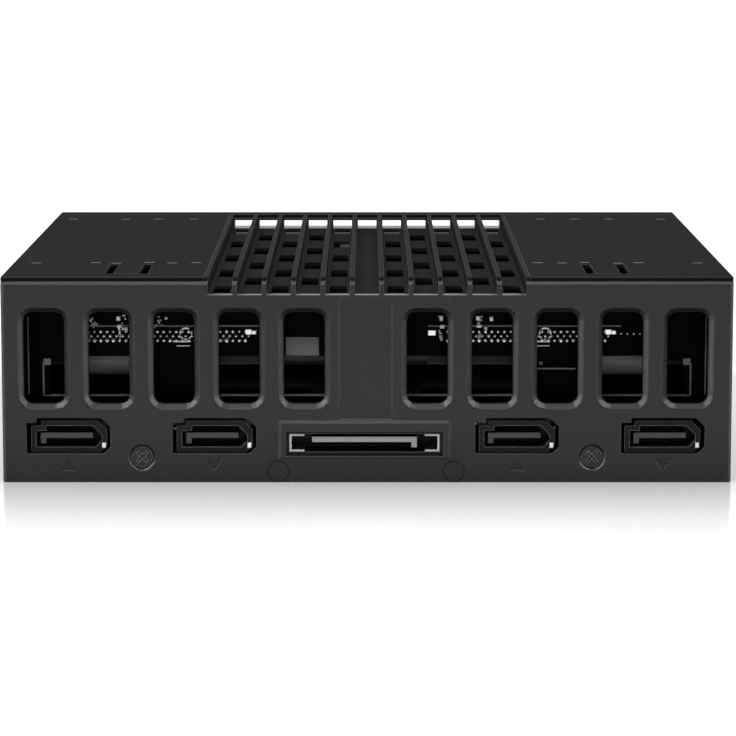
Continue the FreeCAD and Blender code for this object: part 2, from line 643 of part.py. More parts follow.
def cross_recess(across, up):
    """The cross in a screw head, standing on its corners, as one twelve-sided outline."""
    arm = [("recess_wide", "recess_wide"), ("recess_long", "recess_wide"), ("recess_long", "-recess_wide")]
    points = []
    for quarter in range(4):
        turn = math.radians(45 - 90 * quarter)
        cosine, sine = f"({math.cos(turn):.6f})", f"({math.sin(turn):.6f})"
        points += [(f"{across} + {cosine} * ({a}) - {sine} * ({b})",
                    f"{up} + {sine} * ({a}) + {cosine} * ({b})") for a, b in arm]
    return outline(*points)


def rear_screws():
    """Two screws through the rear cover and the board into the chassis tabs."""
    body = piece("rear_screws")
    places = ["-screw_place", "screw_place"]
    slab(body, "XZ", "head_seat - screw_head_tall", "head_seat",
         *[disc(across, "screw_height", "screw_head") for across in places])
    slab(body, "XZ", "head_seat", "tab_front + overrun",
         *[disc(across, "screw_height", "screw_shank") for across in places])
    cut(body, "XZ", "rear_face", "head_seat - screw_head_tall + recess_deep",
        *[cross_recess(across, "screw_height") for across in places])


# ---------------------------------------------------------------- bay walls
def centre_divider():
    """Wall between the two columns, with a ledge on each side for every tray."""
    body = piece("centre_divider")
    rear, front = "board_front", "front_face - mullion_depth - play"
    slab(body, "XZ", rear, front, rect("-divider_half", "sheet", "divider_half", "channel_under"))
    for level in ("ledge_top", "ledge_top + tier"):
        slab(body, "XZ", rear, "bezel_back - play", rect(
            "-divider_half - ledge", f"{level} - ledge_tall", "divider_half + ledge", level))
    middle = f"({rear} + {front}) / 2 - (divider_windows - 1) / 2 * divider_window_pitch"
    low = "ledge_top + tray_wall_tall"
    window = cut(body, "YZ", "-divider_half - overrun", "divider_half + overrun", clipped(
        f"{middle} - divider_window_long / 2", f"{low} - divider_window_tall / 2",
        f"{middle} + divider_window_long / 2", f"{low} + divider_window_tall / 2", "bend_radius"))
    repeat(body, window, "Y", "divider_window_pitch", "divider_windows", "Z", "tier", "2")


def side_rail(label, side):
    """Two plastic strips on a side wall, one under each tray."""
    body = piece(label)
    strips = [side_rect(side, "inside - ledge", f"{level} - ledge", "inside", level)
              for level in ("ledge_top", "ledge_top + tier")]
    slab(body, "XZ", "board_front", "bezel_back - play", *strips)


def front_frame():
    """Moulded frame round the four tray fronts, with the openings of the vent channel above."""
    body = piece("front_frame")
    slab(body, "XZ", "sheet_front", "front_face",
         rect("-half", "0", "half", "height"),
         rect("-half + frame_rim", "frame_rim", "half - frame_rim", "channel_under"))
    slab(body, "XZ", "bridge_rear", "sheet_front", rect(
        "-channel_outside - channel_lip", "channel_under", "channel_outside + channel_lip", "lid_under"))
    slab(body, "XZ", "front_face - mullion_depth", "front_face", rect(
        "-mullion_half", "sheet", "mullion_half", "channel_under + slip"))
    for side in (-1, 1):
        edge = f"{side} * half"
        bevel_edges(body, "cover_edge", across=(edge, edge), along=("front_face", "front_face"), run="Z")
    first = "-(groove_count - 1) / 2 * groove_pitch"
    vent = cut(body, "XZ", "bridge_rear - overrun", "front_face + overrun", rect(
        f"{first} - front_vent_wide / 2", "channel_top + front_vent_low",
        f"{first} + front_vent_wide / 2", "height - top_bar"))
    repeat(body, vent, "X", "groove_pitch", "groove_count")


# ---------------------------------------------------------------- trays
BAYS = [(1, "-bay_middle", "bay_low + tier"), (2, "bay_middle", "bay_low + tier"),
        (3, "-bay_middle", "bay_low"), (4, "bay_middle", "bay_low")]


def tray(index, across, up):
    """Folded tray that a drive is screwed into."""
    body = piece(f"tray_{index}", across=across, up=up)
    floor, top = "tray_floor_height", "tray_top"
    slab(body, "XY", floor, top, rect("-tray_half", "tray_rear", "tray_half", "bezel_back"))
    slab(body, "XY", floor, "tray_top + tray_wall_tall", *both_sides(
        side_rect, "tray_half - tray_wall", "tray_rear", "tray_half", "bezel_back"))
    slab(body, "XY", floor, "tray_top + tray_wall_tall", *both_sides(
        side_rect, "tray_half - tray_tab", "bezel_back - tray_wall",
        "tray_half - tray_wall / 2", "bezel_back"))
    second_hole = "first_hole + drive_hole_spacing"
    cut(body, "XY", f"{floor} - overrun", f"{top} + overrun",
        *[disc(f"{side} * drive_base_wide / 2", along, "drive_hole")
          for side in (-1, 1) for along in ("first_hole", second_hole)])
    middle = "drive_rear + drive_length / 2"
    cut(body, "XY", f"{floor} - overrun", f"{top} + overrun",
        clipped("-tray_window_half", f"{middle} - tray_bridge / 2 - tray_window_long",
                "tray_window_half", f"{middle} - tray_bridge / 2", "tray_window_corner"),
        clipped("-tray_window_half", f"{middle} + tray_bridge / 2",
                "tray_window_half", f"{middle} + tray_bridge / 2 + tray_window_long", "tray_window_corner"))


def air_slots(body, start, end, first):
    """A row of upright air slots; the bezel's stand half a pitch beside the lever's and keep light in."""
    slot = cut(body, "XZ", start, end, rect(
        f"{first} - air_slot_wide / 2", "air_low", f"{first} + air_slot_wide / 2", "air_high"))
    repeat(body, slot, "X", "air_slot_pitch", "air_slots")


def light_outline(height, gap):
    """Section of a light pipe, with a gap round it for its hole."""
    return rect(f"button_place - light_wide / 2 - {gap}", f"{height} - light_tall / 2 - {gap}",
                f"button_place + light_wide / 2 + {gap}", f"{height} + light_tall / 2 + {gap}")


def bezel(index, across, up):
    """Moulded tray front: hollow behind, with a recess for the lever and a well for its button."""
    body = piece(f"bezel_{index}", across=across, up=up)
    slab(body, "XZ", "bezel_back", "bezel_front", rect("-bezel_half", "0", "bezel_half", "bezel_tall"))
    bevel_edges(body, "bezel_edge", along=("bezel_front", "bezel_front"))
    cut(body, "XZ", "recess_floor", "bezel_front + overrun", rect(
        "hinge_x - barrel_radius - play", "bezel_rim", "recess_right", "bezel_tall - bezel_rim"))
    cut(body, "XZ", "hinge_y - barrel_radius - play", "recess_floor + overrun", rect(
        "hinge_x - barrel_radius - play", "bezel_rim",
        "hinge_x + barrel_radius + play", "bezel_tall - bezel_rim"))
    cut(body, "XZ", "hinge_y - toe_swing", "hinge_y - toe_front + play", rect(
        "-bezel_half - overrun", "bezel_mid - toe_half_tall - play",
        "hinge_x + toe_back - play", "bezel_mid + toe_half_tall + play"))
    cut(body, "XZ", "bezel_back - overrun", "recess_floor - bezel_skin", rect(
        "cavity_left", "bezel_rim", "recess_right", "bezel_tall - bezel_rim"))
    air_slots(body, "recess_floor - bezel_skin - overrun", "recess_floor + overrun",
              "air_slot_first + air_slot_pitch / 2")
    cut(body, "XZ", "button_rear - button_room", "bezel_front + overrun", clipped(
        "well_left", "bezel_mid - button_tall / 2 - play",
        "button_place + button_wide / 2 + play", "bezel_mid + button_tall / 2 + play", "bezel_edge + slip"))
    cut(body, "XZ", "bezel_back - overrun", "bezel_front + overrun",
        *[light_outline(height, "pin_play") for height in ("light_margin", "bezel_tall - light_margin")])


def lever(index, across, up):
    """Swinging lever with the bezel's air slots, a barrel at one end and a toe behind it."""
    body = piece(f"lever_{index}", across=across, up=up)
    slab(body, "XY", "lever_low", "lever_high", rect("hinge_x", "lever_back", "lever_right", "lever_front"))
    bevel_edges(body, "lever_edge", across=("hinge_x + overrun", "lever_right"),
                along=("lever_front", "lever_front"))
    slab(body, "XY", "lever_low", "lever_high", disc("hinge_x", "hinge_y", "barrel_radius"))
    slab(body, "XY", "bezel_mid - toe_half_tall", "bezel_mid + toe_half_tall", rect(
        "hinge_x - toe_reach", "hinge_y - toe_back", "hinge_x", "hinge_y - toe_front"))
    air_slots(body, "lever_back - overrun", "lever_front + overrun", "air_slot_first")
    cut(body, "XZ", "lever_front - grip_deep", "lever_front + overrun", rect(
        "lever_right - grip_wide", "bezel_mid - button_tall / 2", "lever_right + overrun",
        "bezel_mid + button_tall / 2"))
    cut(body, "XY", "lever_low - overrun", "lever_high + overrun",
        disc("hinge_x", "hinge_y", "hinge_pin + pin_play"))


def hinge_pin(index, across, up):
    """Steel pin, held between the bezel's rims, that the lever turns on."""
    body = piece(f"hinge_pin_{index}", across=across, up=up)
    slab(body, "XY", "bezel_rim", "bezel_tall - bezel_rim", disc("hinge_x", "hinge_y", "hinge_pin"))


def latch_button(index, across, up):
    """Push button beside the lever's free end."""
    body = piece(f"latch_button_{index}", across=across, up=up)
    slab(body, "XZ", "button_rear", "bezel_front - play", clipped(
        "button_place - button_wide / 2", "bezel_mid - button_tall / 2",
        "button_place + button_wide / 2", "bezel_mid + button_tall / 2", "bezel_edge"))
    bevel_edges(body, "bezel_edge / 2", along=("bezel_front - play", "bezel_front - play"))


def light_pipes(index, across, up):
    """Two clear bars that carry the activity lights to the front."""
    body = piece(f"light_pipes_{index}", across=across, up=up)
    slab(body, "XZ", "bezel_back", "bezel_front + light_proud",
         *[light_outline(height, "0") for height in ("light_margin", "bezel_tall - light_margin")])


# ---------------------------------------------------------------- build
def build():
    lower_chassis()
    top_cover()
    vent_channel()
    rear_cover()
    for index, middle in enumerate(DATA_SOCKETS, start=1):
        data_socket(index, middle)
    power_socket()
    power_clips()
    backplane_board()
    rear_screws()
    centre_divider()
    side_rail("left_rail", -1)
    side_rail("right_rail", 1)
    front_frame()
    for index, across, up in BAYS:
        drive_connector(index, across, f"({up}) + tray_top + connector_rise")
        tray(index, across, up)
        bezel(index, across, up)
        lever(index, across, up)
        hinge_pin(index, across, up)
        latch_button(index, across, up)
        light_pipes(index, across, up)
    doc.recompute()


def check():
    """Stop if any feature failed or any sub-part is not a sound solid."""
    for thing in doc.Objects:
        if {"Invalid", "Error"} & set(thing.State):
            raise RuntimeError(f"{thing.Label} failed: {thing.State}")
    for body in PIECES:
        if body.Shape.isNull() or not body.Shape.isValid() or not body.Shape.Solids:
            raise RuntimeError(f"{body.Label} is not a sound solid")


def export():
    os.makedirs("parts", exist_ok=True)
    for body in PIECES:
        body.Shape.exportStep(f"parts/{body.Label}.step")


build()
check()
export()
print(f"{len(PIECES)} sub-parts, {number('depth'):.2f} mm deep")
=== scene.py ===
# %% [markdown]
# # A hot swap drive cage, dressed and lit
# The cage arrives from the CAD model as plain solids, one object for each real piece, in metres.
# This lesson gives every piece its finish and adds the small things that are easier to make
# here: solder joints and other parts on the circuit board, contacts, springs and the marks that
# a press leaves in sheet metal.

import bmesh
import bpy
import json
import math
import random
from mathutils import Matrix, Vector


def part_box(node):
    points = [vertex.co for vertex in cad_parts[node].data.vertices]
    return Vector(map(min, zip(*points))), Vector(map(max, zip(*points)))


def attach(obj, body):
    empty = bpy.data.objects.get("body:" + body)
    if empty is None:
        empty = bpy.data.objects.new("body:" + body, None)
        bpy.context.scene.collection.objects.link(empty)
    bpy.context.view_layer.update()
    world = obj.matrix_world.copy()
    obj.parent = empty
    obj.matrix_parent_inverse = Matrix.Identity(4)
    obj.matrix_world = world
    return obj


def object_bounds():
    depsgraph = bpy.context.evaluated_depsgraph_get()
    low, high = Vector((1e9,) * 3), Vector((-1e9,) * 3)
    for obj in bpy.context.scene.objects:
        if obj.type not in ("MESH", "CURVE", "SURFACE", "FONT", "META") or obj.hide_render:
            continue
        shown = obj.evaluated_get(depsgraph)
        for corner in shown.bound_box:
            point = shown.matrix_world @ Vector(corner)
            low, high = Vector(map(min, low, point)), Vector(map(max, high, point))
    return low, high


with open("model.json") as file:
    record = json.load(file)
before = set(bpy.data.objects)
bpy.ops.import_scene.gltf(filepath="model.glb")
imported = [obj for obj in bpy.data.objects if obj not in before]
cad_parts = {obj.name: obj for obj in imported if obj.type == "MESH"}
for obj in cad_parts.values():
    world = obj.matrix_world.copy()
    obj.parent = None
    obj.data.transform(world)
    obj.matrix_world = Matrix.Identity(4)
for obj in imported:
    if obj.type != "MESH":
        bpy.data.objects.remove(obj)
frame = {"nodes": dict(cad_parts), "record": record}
cad_low, cad_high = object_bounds()
nodes = frame["nodes"]
MM = 0.001
print(len(nodes), "CAD pieces,", [round(c / MM, 1) for c in cad_high - cad_low], "mm overall")

# %% [markdown]
# ## Camera
# A long lens a good way off keeps the cage's upright edges nearly parallel. The camera looks at
# the socket side from a little above, so that the top shows as a narrow trapezium. It is
# tipped down rather than shifted, because a shift would spoil every other view.

# %% Camera
CAMERA_PLACE = (0.0002, -0.69477, 0.1173)
CAMERA_TIP = math.radians(8.509)

camera_data = bpy.data.cameras.new("camera")
camera_data.lens = 155.9
camera_data.sensor_width = 36.0
camera = bpy.data.objects.new("camera", camera_data)
camera.location = CAMERA_PLACE
camera.rotation_euler = (math.pi / 2 - CAMERA_TIP, 0.0, 0.0)
bpy.context.collection.objects.link(camera)
bpy.context.scene.camera = camera
bpy.context.scene.view_settings.view_transform = "Standard"

# %% [markdown]
# ## Shader helpers
# A material is a small graph of nodes. Three helpers keep the graphs short: one adds a node and
# sets its plain values, one makes a list of links and one makes an empty material. Values that
# are the same all over a surface are set on the shader itself, because that is where an exporter
# looks for them.


# %% Shader helpers
def add_node(tree, kind, **values):
    node = tree.nodes.new(kind)
    for name, value in values.items():
        if name in node.inputs:
            node.inputs[name].default_value = value
        else:
            setattr(node, name, value)
    return node


def link_all(tree, links):
    for source, target in links:
        tree.links.new(source, target)


def new_material(name):
    material = bpy.data.materials.new(name)
    material.use_nodes = True
    tree = material.node_tree
    tree.nodes.clear()
    return material, tree, tree.nodes.new("ShaderNodeOutputMaterial")


# %% [markdown]
# ## Background
# The cage stands in front of plain white. The lens sees that white at full strength, and so do
# reflections of the side where the backdrop hangs. For everything else the surroundings are
# dimmer, as in a real studio, so that the lamps shape the cage.


# %% Background
SURROUNDINGS = 0.24


def largest(tree, *values):
    """The largest of several values."""
    result = values[0]
    for value in values[1:]:
        node = add_node(tree, "ShaderNodeMath", operation="MAXIMUM")
        tree.links.new(result, node.inputs[0])
        tree.links.new(value, node.inputs[1])
        result = node.outputs[0]
    return result


world = bpy.data.worlds.new("studio")
bpy.context.scene.world = world
world.use_nodes = True
tree = world.node_tree
tree.nodes.clear()
path = tree.nodes.new("ShaderNodeLightPath")
place = tree.nodes.new("ShaderNodeTexCoord")
split = tree.nodes.new("ShaderNodeSeparateXYZ")
backdrop_side = add_node(tree, "ShaderNodeMapRange", interpolation_type="SMOOTHSTEP")
backdrop_side.inputs["From Min"].default_value = -0.3
backdrop_side.inputs["From Max"].default_value = 0.3
mirrored = add_node(tree, "ShaderNodeMath", operation="MULTIPLY")
strength = tree.nodes.new("ShaderNodeMapRange")
strength.inputs["To Min"].default_value = SURROUNDINGS
strength.inputs["To Max"].default_value = 1.0
white = tree.nodes.new("ShaderNodeBackground")
white.inputs["Color"].default_value = (1.0, 1.0, 1.0, 1.0)
tree.links.new(place.outputs["Generated"], split.inputs[0])
tree.links.new(split.outputs["Y"], backdrop_side.inputs["Value"])
tree.links.new(backdrop_side.outputs["Result"], mirrored.inputs[0])
tree.links.new(largest(tree, path.outputs["Is Glossy Ray"], path.outputs["Is Transmission Ray"]),
               mirrored.inputs[1])
tree.links.new(largest(tree, path.outputs["Is Camera Ray"], mirrored.outputs[0]), strength.inputs["Value"])
tree.links.new(strength.outputs["Result"], white.inputs["Strength"])
tree.links.new(white.outputs[0], tree.nodes.new("ShaderNodeOutputWorld").inputs[0])

# %% [markdown]
# ## Table
# A pale, polished table. It is lit like any surface, so it takes the cage's shadow and mirrors
# its foot, and a glow, seen only by the lens, lifts the rest of it to white. The glow grows with
# the distance from the cage, so the table stays darker close to the cage, a painted shade round
# its foot, and the mirror image fades within a few centimetres on every side.

# %% Table
TABLE_REACH = 3.0
# the weak glow next to the cage leaves the table darker round its foot: painted shade
NEAR_LIFT, FAR_LIFT = 0.04, 0.60
FADE = 0.062

table_mesh = bpy.data.meshes.new("table")
table_mesh.from_pydata([(-TABLE_REACH, -TABLE_REACH, 0), (TABLE_REACH, -TABLE_REACH, 0),
                        (TABLE_REACH, TABLE_REACH, 0), (-TABLE_REACH, TABLE_REACH, 0)],
                       [], [(0, 1, 2, 3)])
table = bpy.data.objects.new("table", table_mesh)
bpy.context.collection.objects.link(table)
material, tree, output = new_material("pale_table")
table_top = add_node(tree, "ShaderNodeBsdfPrincipled", Roughness=0.12)
table_top.inputs["Base Color"].default_value = (0.63, 0.63, 0.63, 1.0)
path = tree.nodes.new("ShaderNodeLightPath")
place = tree.nodes.new("ShaderNodeTexCoord")
folded = add_node(tree, "ShaderNodeVectorMath", operation="ABSOLUTE")
outside = add_node(tree, "ShaderNodeVectorMath", operation="SUBTRACT")
outside.inputs[1].default_value = cad_high
outward = add_node(tree, "ShaderNodeVectorMath", operation="MAXIMUM")
distance = add_node(tree, "ShaderNodeVectorMath", operation="LENGTH")
rise = tree.nodes.new("ShaderNodeMapRange")
rise.inputs["From Max"].default_value = FADE
rise.inputs["To Min"].default_value = NEAR_LIFT
rise.inputs["To Max"].default_value = FAR_LIFT
lift = add_node(tree, "ShaderNodeMath", operation="MULTIPLY")
glow = tree.nodes.new("ShaderNodeEmission")
both = tree.nodes.new("ShaderNodeAddShader")
tree.links.new(place.outputs["Object"], folded.inputs[0])
tree.links.new(folded.outputs[0], outside.inputs[0])
tree.links.new(outside.outputs[0], outward.inputs[0])
tree.links.new(outward.outputs[0], distance.inputs[0])
tree.links.new(distance.outputs["Value"], rise.inputs["Value"])
tree.links.new(rise.outputs["Result"], lift.inputs[0])
tree.links.new(largest(tree, path.outputs["Is Camera Ray"], path.outputs["Is Glossy Ray"],
                       path.outputs["Is Transmission Ray"]), lift.inputs[1])
tree.links.new(lift.outputs[0], glow.inputs["Strength"])
tree.links.new(table_top.outputs[0], both.inputs[0])
tree.links.new(glow.outputs[0], both.inputs[1])
tree.links.new(both.outputs[0], output.inputs["Surface"])
table_mesh.materials.append(material)

# %% [markdown]
# ## Lamps
# Three narrow strips on each side stand in an arc, level with the socket face, and the slanted
# lower corners of every air vent mirror them. The left ones are a little stronger. A broad front
# box lights the face, and a small overhead one does so from close by. The ceiling lamp is what
# the slanted sills of the vents mirror. Together they are stronger than plain studio light, so
# the blacks below are written darker than they look.


# %% Lamps
AIM = (0.0, -0.06, 0.02)
STRIP_POWER = {"left": (-1, 2.2), "right": (1, 1.7)}
STRIP_PLACES = [(0.97, 0.28), (0.79, 0.64), (0.48, 0.90)]
STRIP_SIZE = (0.08, 0.42)
STRIP_BACK = -0.18


def soft_lamp(name, place, aim, size, power):
    data = bpy.data.lights.new(name, "AREA")
    data.shape = "RECTANGLE"
    data.size, data.size_y = size
    data.energy = power
    lamp = bpy.data.objects.new(name, data)
    lamp.location = place
    lamp.rotation_mode = "QUATERNION"
    lamp.rotation_quaternion = (Vector(aim) - Vector(place)).to_track_quat("-Z", "Y")
    bpy.context.collection.objects.link(lamp)


for word, (side, power) in STRIP_POWER.items():
    for index, (away, height) in enumerate(STRIP_PLACES):
        soft_lamp(f"side_strip_{word}_{index}", (side * away, STRIP_BACK, height), AIM, STRIP_SIZE, power)
soft_lamp("front_box", (0.0, -1.3, 0.9), AIM, (0.8, 0.4), 0.467)
soft_lamp("overhead", (-0.04, -0.27, 0.25), (-0.02, -0.06, 0.035), (0.20, 0.04), 0.267)
soft_lamp("ceiling", (0.0, -0.12, 1.2), (0.0, -0.06, 0.0), (0.40, 0.40), 1.67)
print(len(bpy.data.lights), "lamps")

# %% [markdown]
# ## Shared effects
# Four effects turn up in many finishes. **Grain** is the fine texture that a mould or a powder
# coat leaves. **Soft edge** rounds the light that falls on sharp edges, and also finds them, so
# that the edges can take a paler tone, a painted highlight with a little wear. **Patches** make a
# finish slightly uneven. **Region** picks out a box-shaped part of a piece, for something moulded in another
# colour.
# Each is a node group, built once, with named inputs.


# %% Shared effects
FLOAT, VECTOR = "NodeSocketFloat", "NodeSocketVector"


def new_group(name, inputs, outputs):
    group = bpy.data.node_groups.new(name, "ShaderNodeTree")
    for label, kind, value in inputs:
        socket = group.interface.new_socket(name=label, in_out="INPUT", socket_type=kind)
        if value is not None:
            socket.default_value = value
    for label, kind in outputs:
        group.interface.new_socket(name=label, in_out="OUTPUT", socket_type=kind)
    return group, group.nodes.new("NodeGroupInput"), group.nodes.new("NodeGroupOutput")


grain, start, end = new_group(
    "grain", [("Size", FLOAT, 3000.0), ("Depth", FLOAT, 0.2), ("Normal", VECTOR, None)],
    [("Normal", VECTOR), ("Speckle", FLOAT)])
place = grain.nodes.new("ShaderNodeTexCoord")
speckle = add_node(grain, "ShaderNodeTexNoise", Detail=3.0, Roughness=0.6)
bump = add_node(grain, "ShaderNodeBump", Distance=0.0001)
grain.links.new(place.outputs["Object"], speckle.inputs["Vector"])
grain.links.new(start.outputs["Size"], speckle.inputs["Scale"])
grain.links.new(start.outputs["Depth"], bump.inputs["Strength"])
grain.links.new(start.outputs["Normal"], bump.inputs["Normal"])
grain.links.new(speckle.outputs["Fac"], bump.inputs["Height"])
grain.links.new(bump.outputs["Normal"], end.inputs["Normal"])
grain.links.new(speckle.outputs["Fac"], end.inputs["Speckle"])

soft_edge, start, end = new_group(
    "soft_edge", [("Radius", FLOAT, 0.0003)], [("Normal", VECTOR), ("Edge", FLOAT)])
rounded = add_node(soft_edge, "ShaderNodeBevel", samples=6)
surface = soft_edge.nodes.new("ShaderNodeNewGeometry")
turned = add_node(soft_edge, "ShaderNodeVectorMath", operation="DOT_PRODUCT")
gap = add_node(soft_edge, "ShaderNodeMath", operation="SUBTRACT")
gap.inputs[0].default_value = 1.0
sharpen = add_node(soft_edge, "ShaderNodeMath", operation="MULTIPLY", use_clamp=True)
sharpen.inputs[1].default_value = 5.0
soft_edge.links.new(start.outputs["Radius"], rounded.inputs["Radius"])
soft_edge.links.new(rounded.outputs["Normal"], end.inputs["Normal"])
soft_edge.links.new(rounded.outputs["Normal"], turned.inputs[0])
soft_edge.links.new(surface.outputs["Normal"], turned.inputs[1])
soft_edge.links.new(turned.outputs["Value"], gap.inputs[1])
soft_edge.links.new(gap.outputs[0], sharpen.inputs[0])
soft_edge.links.new(sharpen.outputs[0], end.inputs["Edge"])

patches, start, end = new_group("patches", [("Size", FLOAT, 60.0), ("From", FLOAT, 0.4), ("To", FLOAT, 0.7)],
                                [("Mask", FLOAT)])
place = patches.nodes.new("ShaderNodeTexCoord")
cloud = add_node(patches, "ShaderNodeTexNoise", Detail=4.0, Roughness=0.55)
limits = patches.nodes.new("ShaderNodeMapRange")
patches.links.new(place.outputs["Object"], cloud.inputs["Vector"])
patches.links.new(start.outputs["Size"], cloud.inputs["Scale"])
patches.links.new(cloud.outputs["Fac"], limits.inputs["Value"])
patches.links.new(start.outputs["From"], limits.inputs["From Min"])
patches.links.new(start.outputs["To"], limits.inputs["From Max"])
patches.links.new(limits.outputs["Result"], end.inputs["Mask"])

region, start, end = new_group("region", [("Low", VECTOR, None), ("High", VECTOR, None)], [("Mask", FLOAT)])
place = region.nodes.new("ShaderNodeTexCoord")
above = add_node(region, "ShaderNodeVectorMath", operation="SUBTRACT")
below = add_node(region, "ShaderNodeVectorMath", operation="SUBTRACT")
inside = add_node(region, "ShaderNodeVectorMath", operation="MINIMUM")
split = region.nodes.new("ShaderNodeSeparateXYZ")
least = add_node(region, "ShaderNodeMath", operation="MINIMUM")
least_of_all = add_node(region, "ShaderNodeMath", operation="MINIMUM")
yes = add_node(region, "ShaderNodeMath", operation="GREATER_THAN")
yes.inputs[1].default_value = 0.0
region.links.new(place.outputs["Object"], above.inputs[0])
region.links.new(start.outputs["Low"], above.inputs[1])
region.links.new(start.outputs["High"], below.inputs[0])
region.links.new(place.outputs["Object"], below.inputs[1])
region.links.new(above.outputs[0], inside.inputs[0])
region.links.new(below.outputs[0], inside.inputs[1])
region.links.new(inside.outputs[0], split.inputs[0])
region.links.new(split.outputs["X"], least.inputs[0])
region.links.new(split.outputs["Y"], least.inputs[1])
region.links.new(least.outputs[0], least_of_all.inputs[0])
region.links.new(split.outputs["Z"], least_of_all.inputs[1])
region.links.new(least_of_all.outputs[0], yes.inputs[0])
region.links.new(yes.outputs[0], end.inputs["Mask"])
print("four shared effects")

# %% [markdown]
# ## Finishes
# One function makes every hard finish on the cage. It mixes three colours: the finish itself, a
# slightly different tone in patches, and a paler tone along the edges, a painted highlight with a
# little wear. Roughness follows the grain, and the normal goes through the soft edge and then the
# grain. A finish may also have one box-shaped region in a colour of its own.


# %% Finishes
def hard_finish(name, color, patch_color, edge_highlight_color, roughness, metallic=0.0, specular=0.5,
                grain_size=3000.0, grain_depth=0.2, edge_radius=0.0003, region_box=None,
                region_color=None):
    material, tree, output = new_material(name)
    shader = tree.nodes.new("ShaderNodeBsdfPrincipled")
    shader.inputs["Metallic"].default_value = metallic
    shader.inputs["Specular IOR Level"].default_value = specular
    edge = add_node(tree, "ShaderNodeGroup", node_tree=soft_edge)
    edge.inputs["Radius"].default_value = edge_radius
    texture = add_node(tree, "ShaderNodeGroup", node_tree=grain)
    texture.inputs["Size"].default_value = grain_size
    texture.inputs["Depth"].default_value = grain_depth
    mask = add_node(tree, "ShaderNodeGroup", node_tree=patches)
    tone = add_node(tree, "ShaderNodeMix", data_type="RGBA")
    tone.inputs["A"].default_value = (*color, 1.0)
    tone.inputs["B"].default_value = (*patch_color, 1.0)
    # paler colour along the edges: a painted highlight, with a little wear
    edge_highlight = add_node(tree, "ShaderNodeMix", data_type="RGBA")
    edge_highlight.inputs["B"].default_value = (*edge_highlight_color, 1.0)
    rough = tree.nodes.new("ShaderNodeMapRange")
    rough.inputs["To Min"].default_value = roughness[0]
    rough.inputs["To Max"].default_value = roughness[1]
    links = [
        (edge.outputs["Normal"], texture.inputs["Normal"]),
        (texture.outputs["Normal"], shader.inputs["Normal"]),
        (mask.outputs["Mask"], tone.inputs["Factor"]),
        (tone.outputs["Result"], edge_highlight.inputs["A"]),
        (edge.outputs["Edge"], edge_highlight.inputs["Factor"]),
        (texture.outputs["Speckle"], rough.inputs["Value"]),
        (rough.outputs["Result"], shader.inputs["Roughness"]),
        (shader.outputs["BSDF"], output.inputs["Surface"]),
    ]
    last = edge_highlight
    if region_box:
        box = add_node(tree, "ShaderNodeGroup", node_tree=region)
        box.inputs["Low"].default_value, box.inputs["High"].default_value = region_box
        last = add_node(tree, "ShaderNodeMix", data_type="RGBA")
        last.inputs["B"].default_value = (*region_color, 1.0)
        links += [(box.outputs["Mask"], last.inputs["Factor"]), (edge_highlight.outputs["Result"], last.inputs["A"])]
    link_all(tree, links + [(last.outputs["Result"], shader.inputs["Base Color"])])
    return material
